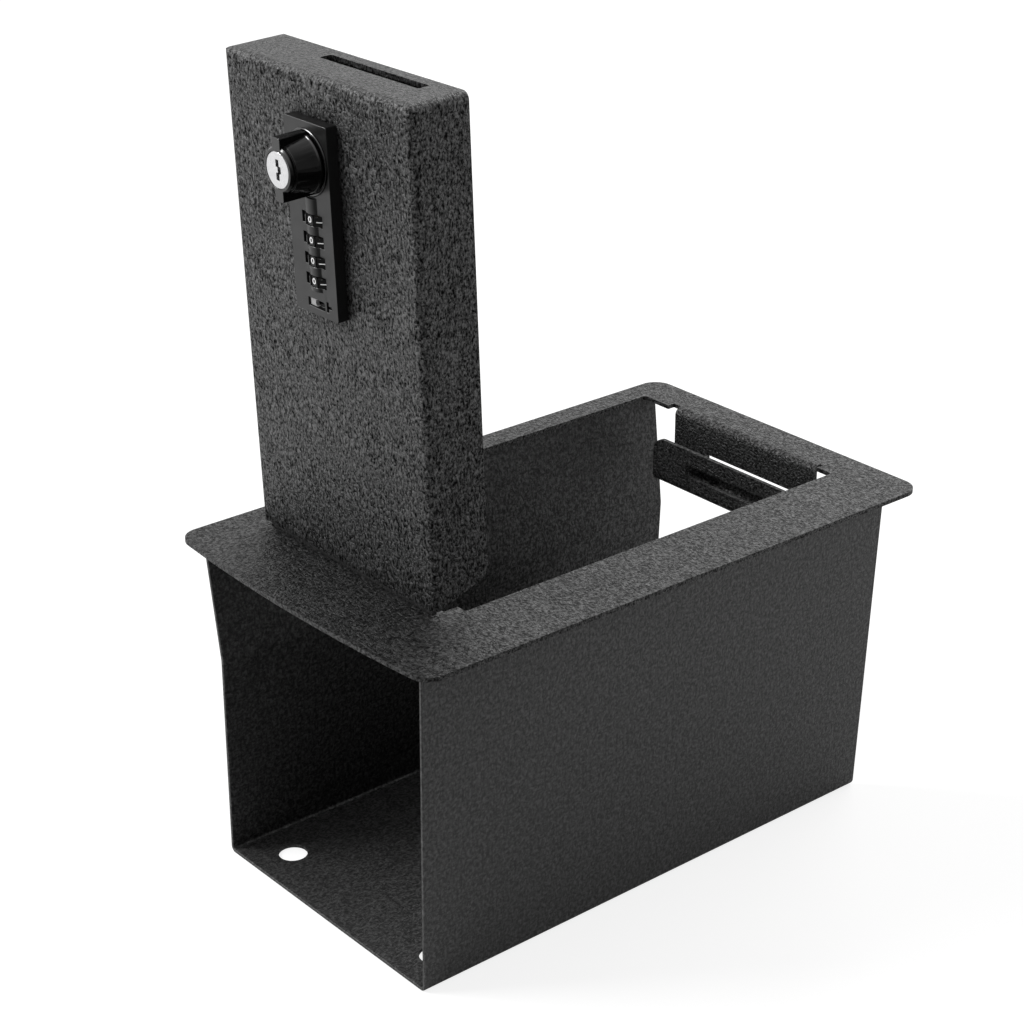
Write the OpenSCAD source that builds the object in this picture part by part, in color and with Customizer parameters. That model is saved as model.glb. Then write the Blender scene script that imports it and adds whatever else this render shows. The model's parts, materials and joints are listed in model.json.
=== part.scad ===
// Console safe: a folded steel box that hangs by its top plate in a vehicle's
// centre console, with a hinged pan lid and a four-dial cam lock.
// X runs across the safe, Y along it from the hinge end to the latch end, Z up.
// The origin is the middle of the footprint, on the floor that the box stands on.

/* [Top plate] */
// Width of the top plate
plate_w = 208.7; // [204:0.5:230]
// Length of the top plate, to the middle of its bowed near edge
plate_l = 343.5; // [340:0.5:380]
// Bow of the plate's near edge
near_bow = 4; // [1:0.5:6]
// Height of the top plate's upper face above the floor
safe_h = 184.4; // [170:0.5:230]
// Corner radius of the top plate
plate_r = 11; // [4:1:20]
// Thickness of the plate's and the lid's sheet
sheet = 2.4; // [2:0.1:2.6]
// Outer radius of the bends in that sheet
bend_r = 4; // [3.2:0.1:5]

/* [Lid] */
// Width of the lid
lid_w = 146; // [130:1:147]
// Width of the plate's strip past the lid's free edge
end_strip = 25; // [23:0.5:30]
// Depth of the lid's flanges
lid_d = 33.3; // [32:0.1:34.5]
// Place of the lid's middle across the safe
lid_x = -14.6; // [-16:0.1:-13]
// Distance from the plate's near edge to the shut lid's hinge edge
lid_inset = 68; // [66:0.5:72]
// Gap beside the lid in its opening
side_gap = 1.8; // [1.5:0.1:2.3]
// Gap at the lid's hinge edge
hinge_gap = 4.5; // [4:0.1:6]
// Gap at the lid's free edge
free_gap = 1.5; // [1.5:0.1:3]
// Angle that the lid stands open, as it is drawn
open_angle = 92.1; // [80:0.1:95]
// Set-back of the side flanges' lower corners at the hinge end
flange_slant = 10; // [8:0.5:14]
// Radius of those lower corners
flange_corner_r = 7; // [4:0.5:10]
// Width of the lip inside the end flange's edge
lip_w = 10.5; // [8:0.5:11]
// Distance from each end of the lip to the side flange
lip_side = 3; // [2:0.5:8]

/* [Hinge] */
// Outer radius of the hinge knuckles
knuckle_r = 6.35; // [6:0.05:6.6]
// Radius of the hinge pin
pin_r = 3; // [2.5:0.1:3.5]
// Thickness of the hinge leaves
leaf_t = 3; // [2.5:0.1:3.2]
// Length of the hinge
hinge_l = 134; // [110:1:134]
// Number of knuckles
knuckles = 5; // [3:2:9]
// Width of the fixed leaf, from the pin's axis
fixed_leaf_w = 32; // [24:1:40]
// Width of the moving leaf, from the pin's axis
moving_leaf_w = 34; // [26:1:40]
// Distance from the pin's axis to the lid's hinge edge
pin_back = 12.4; // [12:0.1:13]
// Gap between neighbouring knuckles
knuckle_gap = 0.4; // [0.3:0.1:0.6]
// Room round a knuckle where the other leaf is cut away
knuckle_room = 0.8; // [0.5:0.1:1.2]
// Running clearance of the pin in the moving knuckles
pin_play = 0.05; // [0.03:0.01:0.1]

/* [Box] */
// Thickness of the box's sheet
wall_t = 1.9; // [1.5:0.1:2.4]
// Outer radius of the box's lower bends
floor_bend_r = 3.5; // [3:0.5:6]
// Outer width of the floor
floor_w = 171; // [166:0.2:172]
// Place of the floor's left edge across the safe
floor_x = -82.4; // [-84:0.1:-80]
// Height at which the left wall starts to lean far outward
knee_h = 115.8; // [100:0.2:130]
// Outward lean of the left wall from the floor to the knee
low_lean = 1.2; // [0:0.1:3]
// Outward lean of the left wall from the knee to the plate
left_lean = 11.7; // [8:0.1:12]
// Radius of the left wall's knee
knee_r = 14; // [8:1:30]
// Distance from the plate's near edge to the box's near end, at the plate
near_inset = 13.9; // [10:0.1:18]
// Reach of the box's near end past that, at the floor
near_slope = 2; // [0:0.1:4]
// Distance from the plate's far edge to the box's far end, at the plate
far_inset = 11.8; // [8:0.1:18]
// Set-back of the far end at the floor
far_slope = 10.5; // [0:0.1:14]
// Radius of the bolt holes in the floor
floor_hole_r = 7.8; // [4:0.1:10]
// Spacing of the bolt holes across the safe
floor_hole_dx = 123.8; // [100:0.1:128]
// Distance from the plate's near edge to the near bolt holes
near_hole_inset = 34.5; // [32:0.25:60]
// Distance from the plate's far edge to the far bolt holes
far_hole_inset = 43; // [38:0.25:70]
// Place of the bolt pattern's middle across the safe
floor_hole_x = 5.6; // [3:0.1:6]

/* [Latch channel] */
// Width of the channel folded down from the far strip
channel_w = 111; // [100:1:115]
// Place of the channel's middle across the safe
channel_x = -8; // [-10:0.1:-6]
// Gap from the shut lid's free edge to the channel's back wall
channel_gap = 1.5; // [1.5:0.1:2.4]
// Inner width of the channel, front wall to back wall
channel_in = 14.5; // [14:0.1:16]
// Depth of the channel's floor under the plate's upper face
channel_d = 37.8; // [36:0.1:40]
// Height of the front wall above the channel's floor
front_wall_h = 24.9; // [22:0.1:26]
// Radius of the front wall's upper corners
front_wall_r = 8.5; // [4:0.5:10]
// Width of the relief cut at the channel's left end
relief_left = 6; // [2:0.5:8]
// Width of the relief cut at the channel's right end
relief_right = 2; // [1:0.5:4]
// Length of the three slots that the cam passes
slot_l = 75; // [70:1:76]
// Place of the slots' middle across the safe
slot_x = 1; // [0:0.5:2]
// Height of the slots in the lid's end flange and the channel's back wall
slot_h = 6.6; // [5.5:0.1:7]
// Depth of the middle of those two slots under the upper face
slot_d = 23.6; // [23.4:0.1:24]
// Height of the slot in the channel's front wall
front_slot_h = 7.6; // [7:0.1:8]
// Depth of the middle of the front wall's slot
front_slot_d = 25.6; // [25.2:0.1:25.8]
// Radius of the slots' corners
slot_r = 1; // [0.5:0.1:2]

/* [Lock body] */
// Width of the lock's face plate
lock_w = 33.8; // [33.6:0.1:36]
// Length of the lock's face plate
lock_l = 95.2; // [94:0.1:98]
// Height of the face plate's front over the lid
lock_t = 6; // [5.8:0.1:6.2]
// Distance from the lid's free edge to the face plate
lock_edge = 20.3; // [19:0.1:21]
// Corner radius of the face plate
lock_r = 1.2; // [0.6:0.1:2]
// Width of the boss that passes the lid
boss_w = 25.6; // [25.2:0.1:26]
// Length of the boss
boss_l = 83.6; // [82:0.1:84]
// Depth of the boss under the lid's face
boss_d = 13.2; // [13:0.1:13.6]
// Clearance round the boss
boss_gap = 0.2; // [0.1:0.05:0.3]
// Wall and floor thickness of the rear case
case_t = 1.8; // [1.2:0.1:2]
// Thickness of the rear case's rim on the lid
case_rim_t = 2; // [1.5:0.1:2.5]
// Radius of the rear case's screws
screw_r = 1.2; // [1:0.1:1.4]
// Radius of their heads
screw_head_r = 2.4; // [2:0.1:2.6]
// Height of their heads
screw_head_h = 1.6; // [1.2:0.1:2]

/* [Dials] */
// Distance between neighbouring dials
dial_pitch = 10.2; // [10.1:0.1:10.6]
// Distance from the knob's axis to the nearest dial
dial_drop = 27.4; // [27.2:0.1:27.8]
// Place of the dials' axis beside the lock's middle
dial_x = 1; // [0.8:0.1:1.2]
// Depth of the dials' axis under the lid's face
dial_d = 0.3; // [0.2:0.05:0.4]
// Radius of a dial's ten-sided body
dial_r = 8; // [7.8:0.05:8.1]
// Height of a dial's ribs over the corners of its body
rib_h = 0.6; // [0.4:0.05:0.7]
// Width of a dial's ribs
rib_w = 0.9; // [0.6:0.1:1.2]
// Width of a dial
dial_w = 4.7; // [4.5:0.05:4.9]
// Room round and beside a dial
dial_room = 0.4; // [0.35:0.05:0.5]
// Radius of the dials' shaft
shaft_r = 2; // [1.8:0.1:2.2]
// Running clearance on the shaft
shaft_play = 0.05; // [0.03:0.01:0.1]
// Outer radius of a code ring's sleeve
sleeve_r = 4; // [3.8:0.1:4.2]
// Outer radius of a code ring's gate flange
gate_r = 5.6; // [5.4:0.1:5.8]
// Thickness of the gate flange
gate_t = 2; // [1.6:0.1:2.2]

/* [Knob and key] */
// Radius of the ring under the knob
ring_r = 16.3; // [16:0.1:16.7]
// Thickness of the ring under the knob
ring_t = 0.8; // [0.6:0.1:1.6]
// Radius of the knob's rear flange
knob_flange_r = 14.5; // [14.2:0.1:15.2]
// Thickness of the rear flange
knob_flange_t = 1; // [0.8:0.1:1.6]
// Radius of the knob's core at the back
knob_back_r = 13.9; // [13:0.1:14.1]
// Radius of the knob's core at the front
knob_front_r = 11.2; // [10.8:0.1:11.6]
// Height of the knob's front over the lid
knob_h = 22.5; // [20:0.5:24]
// Gap between the knob and its ring
knob_gap = 0.3; // [0.2:0.1:0.8]
// Length of the knob's grip bar
grip_l = 30.8; // [29:0.2:31.4]
// Width of the grip bar
grip_w = 6.4; // [5:0.1:8]
// Radius of the silver key face
key_face_r = 8.7; // [8.4:0.1:8.8]
// Radius of the key plug's body
plug_r = 6; // [5.5:0.1:6.5]
// Length of the keyway
keyway_l = 9.5; // [8:0.1:10]
// Width of the keyway
keyway_w = 2.4; // [1.6:0.1:2.6]

/* [Cam] */
// Radius of the lock's spindle
spindle_r = 6.4; // [6:0.1:6.6]
// Side of the spindle's square end
square_w = 7; // [6:0.1:7.4]
// Depth of the cam's front face under the lid's face
cam_d = 22.6; // [22.4:0.1:23]
// Thickness of the cam
cam_t = 2.5; // [2:0.1:2.6]
// Length of the cam from the spindle's axis
cam_l = 50; // [48:0.5:52]
// Width of the cam
cam_w = 16; // [12:0.5:17]
// Radius of the locking disc on the spindle
disc_r = 9; // [8.6:0.1:9.2]
// Travel of the locking bar
bar_travel = 2; // [1.5:0.1:2.1]
// Travel of the code-change slider
slider_travel = 4; // [3:0.1:4.5]

/* [Hidden] */
$fn = 64;
// Overshoot of a cut past the face that it opens
cut = 1;
// Angle of a half turn
half_turn = 180;
// Top plate's underside and the box's height
under_z = safe_h - sheet;
// Circle of the plate's bowed near edge, tangent to its round corners
bow_half = plate_w / 2 - plate_r;
bow_r = (pow(bow_half, 2) + pow(near_bow, 2) + 2 * near_bow * plate_r) / (2 * near_bow);
bow_end = bow_half * bow_r / (bow_r - plate_r);
// Lid's hinge edge along the safe when it is shut, and its length
lid_y = lid_inset - plate_l / 2;
lid_l = plate_l - lid_inset - end_strip;
// Opening that the lid closes
opening_w = lid_w + 2 * side_gap;
opening_y0 = lid_y - hinge_gap;
opening_y1 = lid_y + lid_l + free_gap;
// Hinge axis, in the safe's frame and from the lid's hinge edge
pin_y = lid_y - pin_back;
pin_z = safe_h - sheet - knuckle_r;
pin_w = -sheet - knuckle_r;
// Corner radius of the opening, and how far the relief cuts pass the channel's bend
opening_r = 2;
relief_end = 0.6;
// Hinge notch in the near strip
notch_side = 1.5;
notch_y = pin_y - knuckle_r - knuckle_room - 0.25;
knuckle_l = (hinge_l - (knuckles - 1) * knuckle_gap) / knuckles;
// Latch channel faces along the safe
back_wall_y = lid_y + lid_l + channel_gap;
front_wall_y = back_wall_y - channel_in;
channel_floor = safe_h - channel_d;
// Distance from the face plate's upper edge to the knob's axis
knob_inset = 19.7;
// Lock's places on the lid
lock_top = lid_l - lock_edge;
lock_mid = lock_top - lock_l / 2;
knob_y = lock_top - knob_inset;
dial_y = [for (i = [0:3]) knob_y - dial_drop - i * dial_pitch];
dial_z = -dial_d;
cavity_r = dial_r + rib_h + dial_room;
// Depth of a rib's root in its dial
rib_root = 1.5;
// Windows in the face: left and right end, and the depth where they pass the dial
window_left = -6.7;
window_right = 9;
window_h = 5.6;
notch_d = 2.5;
// Ridge over the dials: radius, its ends past the outer dials' middles
ridge_r = 7.9;
ridge_low = 5;
ridge_high = 10.6;
// Pointer in each window: width, thickness, start and length beside the dial
pointer_w = 4.4;
pointer_t = 0.4;
pointer_start = -0.9;
pointer_l = 5.5;
hub_room_r = gate_r + 0.8;
// A code ring's sleeve runs from its dial's lower side almost to the next dial
sleeve_l = dial_pitch - dial_room;
gate_y = dial_w / 2 + 0.65;
// Dial chamber in the lock's boss
chamber_y0 = dial_y[3] - dial_w / 2 - 1.2;
chamber_y1 = dial_y[0] - dial_w / 2 + sleeve_l + 0.8;
chamber_x0 = dial_x - dial_r - rib_h - 0.6;
chamber_x1 = boss_w / 2 - 1.5;
// Shaft ends in the walls of the dial chamber
shaft_seat = 3.2;
shaft_y0 = chamber_y0 - shaft_seat;
shaft_y1 = chamber_y1 + shaft_seat;
// Disc chamber in the lock's boss
disc_room_r = disc_r + 1.2;
disc_lift = 3.3;
disc_z0 = -boss_d + disc_lift;
disc_t = 2;
notch_depth = 1.6;
notch_w = 3.6;
disc_chamber_z = disc_z0 + disc_t + 0.6;
// Locking bar's section beside the dials
bar_w = 4.4;
bar_h = 4.6;
bar_room = 0.3;
bar_x = chamber_x1 - bar_room - bar_w;
bar_z = -boss_d + 0.5;
bar_y0 = chamber_y0 + bar_travel + 0.7;
nose_gap = 0.5;
bar_y1 = knob_y - sqrt(pow(disc_r + nose_gap, 2) - pow(bar_x, 2));
spring_x = bar_x + bar_w / 2;
spring_z = bar_z + bar_h / 2;
spring_r = 1.1;
spring_wire = 0.4;
spring_l = 9;
post_w = 1.6;
finger_t = 1.5;
finger_side = 3.1;
finger_x = dial_x + finger_side;
finger_drop = 6.4;
finger_z = dial_z - finger_drop;
finger_h = 2.3;
gate_gap = 0.5;
// Detent comb: width and thickness of its back, half width and tip radius of a finger
comb_w = 3;
comb_t = 0.4;
finger_half = 1.6;
tip_r = 2.4;
finger_y = gate_y + gate_t + gate_gap;
// Case screws in the boss's corners
screw_inset = 3;
screw_x = boss_w / 2 - screw_inset;
screw_y = [lock_mid - boss_l / 2 + screw_inset, lock_mid + boss_l / 2 - screw_inset];
screw_l = 9;
// Bore through the knob and its key shell for the plug's tail
tail_r = 2;
tail_bore_r = 2.5;
// Knob's places over the lid
ring_z = lock_t + ring_t;
knob_z = ring_z + knob_gap;
cup_z = knob_z + 2;
// Groove near the knob's front, bevel of its nose, corners of its grip bar
groove_z = knob_h - 2.2;
groove_w = 0.6;
groove_d = 0.8;
nose = 1;
grip_r = 1;
// Key face, the gap under it, the gap round it and the cup that holds it
face_t = 1.2;
face_gap = 0.1;
rim_gap = 0.3;
cup_r = key_face_r + rim_gap;
plug_z = cup_z + 1.6;
// Depth of the keyway, and its sideways step
keyway_d = 9;
keyway_step = 1.3;
// Heights of the cam's washer and of its screw's head
washer_r = 6.5;
washer_t = 1.2;
washer_z = -cam_d - cam_t - washer_t;
cam_screw_r = 2;
tap_depth = 9;
cam_head_r = 3.8;
cam_head_h = 2.5;
// Retaining clip under the rear case
clip_w = 2.2;
clip_t = 0.8;
clip_mouth = 2.5;
// Code-change recess under the dials
recess_w = 13.3;
recess_h = 4.3;
recess_inset = 3.4;
recess_y = lock_mid - lock_l / 2 + recess_inset;
recess_d = 2.9;
recess_r = 0.5;
recess_mid = recess_y + recess_h / 2;
// Mark to the right of the recess
mark_x = 8.2;
mark_y = recess_mid + 0.6;
mark_w = 1.4;
mark_l = 5.2;
mark_stub = 4.2;
mark_d = 1.6;
// Slider in the recess, hollowed at its right end, on a foot that a slot guides
slider_w = 5.9;
slider_t = 1.9;
slider_x = -recess_w / 2 + 0.4;
slider_room = 0.3;
hollow_r = 1.9;
foot_w = 2.1;
foot_l = 1.3;
foot_d = 1.8;
foot_x = slider_x + 1.1;
foot_room = 0.25;

// Unit vector along v, and v turned a quarter to the left
function unit(v) = v / norm(v);
function left(v) = [-v[1], v[0]];
function turns_left(a, b, c) = cross(b - a, c - b) > 0;
// Corner b of a path, moved d to the left of the path
function miter(a, b, c, d) =
    let (u = left(unit(b - a)), m = unit(u + left(unit(c - b)))) b + m * d / (m * u);
// The whole path, moved d to its left
function beside(p, d) = [for (i = [0:len(p) - 1])
    i == 0 ? p[0] + d * left(unit(p[1] - p[0])) :
    i == len(p) - 1 ? p[i] + d * left(unit(p[i] - p[i - 1])) :
    miter(p[i - 1], p[i], p[i + 1], d)];
// Points of a round corner at b, with radius r, in n steps
function round_corner(a, b, c, r, n = 6) =
    let (u = unit(a - b), w = unit(c - b), half = acos(u * w) / 2)
    let (m = b + unit(u + w) * r / sin(half), turn = half_turn - 2 * half)
    let (s = b + u * r / tan(half) - m, e = b + w * r / tan(half) - m)
    [for (i = [0:n]) m + (s * sin(turn * (1 - i / n)) + e * sin(turn * i / n)) / sin(turn)];
// A path with each inner corner i rounded to radii[i - 1]
function rounded(p, radii) = [for (i = [0:len(p) - 1])
    each i == 0 || i == len(p) - 1 ? [p[i]] : round_corner(p[i - 1], p[i], p[i + 1], radii[i - 1])];
function reversed(p) = [for (i = [len(p) - 1:-1:0]) p[i]];
// Section of a bent sheet of thickness t to the left of path p, whose bends have
// the given outer radii
function bent(p, t, outer) =
    let (r = [for (i = [1:len(p) - 2])
        turns_left(p[i - 1], p[i], p[i + 1]) ? outer[i - 1] : outer[i - 1] - t])
    let (q = [for (i = [1:len(p) - 2])
        turns_left(p[i - 1], p[i], p[i + 1]) ? outer[i - 1] - t : outer[i - 1]])
    concat(rounded(p, r), reversed(rounded(beside(p, t), q)));

// Draws a section given in Y and Z, w long across X about x
module along_x(x, w) {
    translate([x - w / 2, 0, 0]) rotate([90, 0, 90]) linear_extrude(w) children();
}

// Draws a section given in X and Z from y0 to y1
module along_y(y0, y1) {
    translate([0, y1, 0]) rotate([90, 0, 0]) linear_extrude(y1 - y0) children();
}

module box(x0, x1, y0, y1, z0, z1) {
    translate([x0, y0, z0]) cube([x1 - x0, y1 - y0, z1 - z0]);
}

module round_rect(w, l, r) {
    for (x = [-1, 1], y = [-1, 1])
        translate([x * (w / 2 - r), y * (l / 2 - r)]) circle(r);
    square([w - 2 * r, l], center = true);
    square([w, l - 2 * r], center = true);
}

// Puts what is drawn on the lid, X across, Y from its hinge edge, Z out of its face
module on_lid() {
    translate([lid_x, pin_y, pin_z]) rotate([open_angle, 0, 0])
        translate([0, pin_back, -pin_w]) children();
}

// Puts what is drawn at the knob's axis
module at_knob() {
    on_lid() translate([0, knob_y, 0]) children();
}

module disc(r, z0, z1) {
    translate([0, 0, z0]) cylinder(r = r, h = z1 - z0);
}

// A cylinder along the lid at (x, z)
module rod(r, x, z, y0, y1) {
    translate([x, y1, z]) rotate([90, 0, 0]) cylinder(r = r, h = y1 - y0);
}

// Folded box: floor and two walls of one sheet, open at both ends, whose walls
// are drawn on past the plate's underside and cut off flat there
module body_shell() {
    near = near_inset - plate_l / 2;
    far = plate_l / 2 - far_inset;
    knee_x = floor_x - low_lean;
    over = under_z + wall_t;
    wall_path = [[knee_x - left_lean * (over - knee_h) / (under_z - knee_h), over],
        [knee_x, knee_h], [floor_x, 0], [floor_x + floor_w, 0], [floor_x + floor_w, over]];
    color("#26262a") difference() {
        intersection() {
            along_y(near - near_slope - cut, far + cut)
                polygon(bent(wall_path, wall_t, [knee_r, floor_bend_r, floor_bend_r]));
            along_x(0, 2 * plate_w) polygon([[near, under_z], [near - near_slope, 0],
                [near - near_slope, -cut], [far - far_slope, -cut], [far - far_slope, 0],
                [far, under_z]]);
        }
        for (x = [-1, 1], y = [near_hole_inset - plate_l / 2, plate_l / 2 - far_hole_inset])
            translate([floor_hole_x + x * floor_hole_dx / 2, y, -cut])
                cylinder(r = floor_hole_r, h = wall_t + 2 * cut);
    }
}

// Window that the cam passes, cut along Y
module cam_slot(y, depth, h) {
    translate([slot_x, y, safe_h - depth]) rotate([90, 0, 0])
        linear_extrude(3 * sheet, center = true) round_rect(slot_l, h, slot_r);
}

// Outline of the plate, whose near edge is one long arc
module plate_outline() {
    translate([0, near_bow / 2]) round_rect(plate_w, plate_l - near_bow, plate_r);
    intersection() {
        translate([0, bow_r - plate_l / 2]) circle(bow_r, $fn = 720);
        translate([-bow_end, -plate_l / 2 - cut]) square([2 * bow_end, near_bow + plate_r + cut]);
    }
}

// Top plate with the lid's opening, the hinge notch and the folded latch channel
module top_plate() {
    far_strip = back_wall_y + bend_r;
    channel = [[far_strip + cut, safe_h], [back_wall_y, safe_h], [back_wall_y, channel_floor],
        [front_wall_y, channel_floor], [front_wall_y, channel_floor + front_wall_h]];
    color("#3b3b40") {
        translate([0, 0, under_z]) linear_extrude(sheet) difference() {
            plate_outline();
            translate([lid_x, (opening_y0 + opening_y1) / 2])
                round_rect(opening_w, opening_y1 - opening_y0, opening_r);
            translate([lid_x - hinge_l / 2 - notch_side, notch_y])
                square([hinge_l + 2 * notch_side, opening_y0 - notch_y + opening_r]);
            translate([channel_x - channel_w / 2 - relief_left, opening_y1 - opening_r])
                square([channel_w + relief_left + relief_right,
                    far_strip + relief_end - opening_y1 + opening_r]);
        }
        difference() {
            along_x(channel_x, channel_w) polygon(bent(channel, sheet, [bend_r, bend_r, bend_r]));
            cam_slot(back_wall_y + sheet / 2, slot_d, slot_h);
            cam_slot(front_wall_y - sheet / 2, front_slot_d, front_slot_h);
            for (side = [0, 1]) translate([channel_x, 0, channel_floor + front_wall_h])
                mirror([side, 0, 0]) front_corner();
        }
    }
}

// What is cut from an upper corner of the channel's front wall to round it
module front_corner() {
    translate([channel_w / 2 - front_wall_r, front_wall_y + cut, -front_wall_r]) rotate([90, 0, 0])
        linear_extrude(sheet + 2 * cut) difference() {
            square(front_wall_r + cut);
            circle(front_wall_r);
        }
}

// Leaf of width w that leaves its knuckles towards dir along Y, with its flat
// back at the knuckles' top; first is 0 where it has the outer knuckles
module leaf(first, dir, w, bore) {
    start = knuckle_r + knuckle_room;
    difference() {
        union() {
            for (i = [first:2:knuckles - 1])
                translate([lid_x - hinge_l / 2 + i * (knuckle_l + knuckle_gap), 0, 0]) {
                    rotate([0, 90, 0]) cylinder(r = knuckle_r, h = knuckle_l);
                    translate([0, min(0, dir * (start + 1)), knuckle_r - leaf_t])
                        cube([knuckle_l, start + 1, leaf_t]);
                }
            translate([lid_x - hinge_l / 2, min(dir * start, dir * w), knuckle_r - leaf_t])
                cube([hinge_l, w - start, leaf_t]);
        }
        translate([lid_x - hinge_l / 2 - cut, 0, 0]) rotate([0, 90, 0])
            cylinder(r = bore, h = hinge_l + 2 * cut);
    }
}

module hinge_fixed_leaf() {
    color("#1f1f22") translate([0, pin_y, pin_z]) leaf(0, -1, fixed_leaf_w, pin_r);
}

module hinge_moving_leaf() {
    color("#1f1f22") translate([0, pin_y, pin_z]) rotate([open_angle, 0, 0])
        leaf(1, 1, moving_leaf_w, pin_r + pin_play);
}

module hinge_pin() {
    color("#4a4a4e") translate([lid_x - hinge_l / 2, pin_y, pin_z]) rotate([0, 90, 0])
        cylinder(r = pin_r, h = hinge_l);
}

// Outline of the pan across the lid, grown or shrunk by the sheet
module pan_across(inset) {
    r = bend_r - inset;
    x = lid_w / 2 - inset;
    far = [[x, -2 * lid_d], [x, -inset], [-x, -inset], [-x, -2 * lid_d]];
    polygon(rounded(far, [r, r]));
}

// Outline of the pan along the lid
module pan_along(inset, start) {
    r = bend_r - inset;
    y = lid_l - inset;
    polygon(rounded([[y, -2 * lid_d], [y, -inset], [start, -inset], [start, -2 * lid_d]], [r, 0.01]));
}

// Solid that fills the pan, or with an inset its hollow
module pan_block(inset, start, depth) {
    intersection() {
        along_y(start, lid_l + cut) pan_across(inset);
        along_x(0, 2 * lid_w) pan_along(inset, start);
        translate([0, 0, -depth]) linear_extrude(depth) pan_plan(inset, start);
    }
}

// Plan of the pan with round corners at its free end
module pan_plan(inset, start) {
    r = bend_r - inset;
    x = lid_w / 2 - inset;
    y = lid_l - inset;
    polygon(rounded([[x, start], [x, y], [-x, y], [-x, start]], [r, r]));
}

// Strip welded inside the lower edge of the lid's end flange, a lip that stiffens it
module end_lip() {
    half = lid_w / 2 - sheet - lip_side;
    box(-half, half, lid_l - lip_w, lid_l - sheet / 2, -lid_d, -lid_d + sheet);
}

// Lid: a folded pan whose side flanges are set back at the hinge end
module lid_pan() {
    slant = [[0, -sheet], [flange_slant, -lid_d], [3 * flange_slant, -lid_d]];
    color("#3b3b40") on_lid() end_lip();
    color("#3b3b40") on_lid() difference() {
        pan_block(0, 0, lid_d);
        pan_block(sheet, -cut, lid_d + cut);
        along_x(0, 2 * lid_w) polygon(concat([[-cut, -sheet]], rounded(slant, [flange_corner_r]),
            [[3 * flange_slant, -lid_d - cut], [-cut, -lid_d - cut]]));
        translate([0, lock_mid, -sheet - cut]) linear_extrude(sheet + 2 * cut)
            round_rect(boss_w + 2 * boss_gap, boss_l + 2 * boss_gap, lock_r);
        translate([slot_x - lid_x, lid_l - sheet / 2, -slot_d]) rotate([90, 0, 0])
            linear_extrude(3 * sheet, center = true) round_rect(slot_l, slot_h, slot_r);
    }
}

// Mark beside the recess, cut into the face: a bar with a stub to its right
module change_mark() {
    box(mark_x, mark_x + mark_w, mark_y - mark_l / 2, mark_y + mark_l / 2,
        lock_t - mark_d, lock_t + cut);
    box(mark_x, mark_x + mark_stub, mark_y - mark_w / 2, mark_y + mark_w / 2,
        lock_t - mark_d, lock_t + cut);
}

// Round ridge over the dials' axis that shows between the windows
module dial_ridge() {
    intersection() {
        rod(ridge_r, dial_x, dial_z, dial_y[3] - ridge_low, dial_y[0] + ridge_high);
        translate([0, lock_mid, lock_t / 2]) linear_extrude(dial_r) square([lock_w, lock_l], center = true);
    }
}

// Slot in the face over one dial
module dial_window(y) {
    half = dial_w / 2 + dial_room / 2;
    rod(cavity_r, dial_x, dial_z, y - half, y + half);
    box(window_left, window_right, y - window_h / 2, y + window_h / 2, lock_t - notch_d,
        dial_z + ridge_r + cut);
}

// Pointer: a sloping tongue from a window's right end that hides the dial's next flat
module index_pointer(y) {
    translate([dial_x, y, dial_z]) rotate([0, 36, 0])
        box(pointer_start, pointer_start + pointer_l, -pointer_w / 2, pointer_w / 2,
            cavity_r, cavity_r + pointer_t);
}

// Part of the lock that fills the lid's cut-out and clamps to its face
module lock_housing() {
    color("#1a1a1c") on_lid() for (y = dial_y) index_pointer(y);
    color("#1a1a1c") on_lid() difference() {
        union() {
            dial_ridge();
            translate([0, lock_mid, 0]) linear_extrude(lock_t) round_rect(lock_w, lock_l, lock_r);
            translate([0, lock_mid, -boss_d]) linear_extrude(boss_d + 1)
                round_rect(boss_w, boss_l, lock_r);
        }
        for (y = dial_y) dial_window(y);
        rod(hub_room_r, dial_x, dial_z, chamber_y0, chamber_y1);
        box(chamber_x0, chamber_x1, chamber_y0, chamber_y1, -boss_d - cut, dial_z);
        rod(shaft_r, dial_x, dial_z, shaft_y0, shaft_y1);
        box(bar_x - bar_room, chamber_x1, chamber_y1 - cut, knob_y, -boss_d - cut,
            bar_z + bar_h + bar_room);
        translate([0, knob_y, 0]) disc(spindle_r + shaft_play, -boss_d - cut, lock_t + cut);
        translate([0, knob_y, 0]) disc(disc_room_r, -boss_d - cut, disc_chamber_z);
        for (x = [-screw_x, screw_x], y = screw_y)
            translate([x, y, -boss_d - cut]) cylinder(r = screw_r, h = screw_l - case_t + cut);
        translate([0, recess_mid, lock_t - recess_d]) linear_extrude(recess_d + cut)
            round_rect(recess_w, recess_h, recess_r);
        box(foot_x - foot_room, foot_x + foot_w + foot_room + slider_travel,
            recess_mid - foot_l / 2 - foot_room, recess_mid + foot_l / 2 + foot_room,
            lock_t - recess_d - foot_d - foot_room, lock_t - recess_d + cut);
        change_mark();
    }
}

// Rear case: a tub over the boss that clamps the lock against the lid's inner face
module lock_rear_case() {
    in_w = boss_w + 2 * boss_gap;
    in_l = boss_l + 2 * boss_gap;
    floor_z = -boss_d - case_t;
    color("#2b2b2e") on_lid() difference() {
        union() {
            translate([0, lock_mid, -sheet - case_rim_t]) linear_extrude(case_rim_t)
                round_rect(lock_w, lock_l, 3);
            translate([0, lock_mid, floor_z]) linear_extrude(-floor_z - sheet)
                round_rect(in_w + 2 * case_t, in_l + 2 * case_t, lock_r + case_t);
        }
        translate([0, lock_mid, -boss_d]) linear_extrude(boss_d) round_rect(in_w, in_l, lock_r);
        translate([0, knob_y, 0]) disc(spindle_r + shaft_play, floor_z - cut, -boss_d + cut);
        for (x = [-screw_x, screw_x], y = screw_y)
            translate([x, y, floor_z - cut]) cylinder(r = screw_r, h = case_t + 2 * cut);
    }
}

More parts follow.
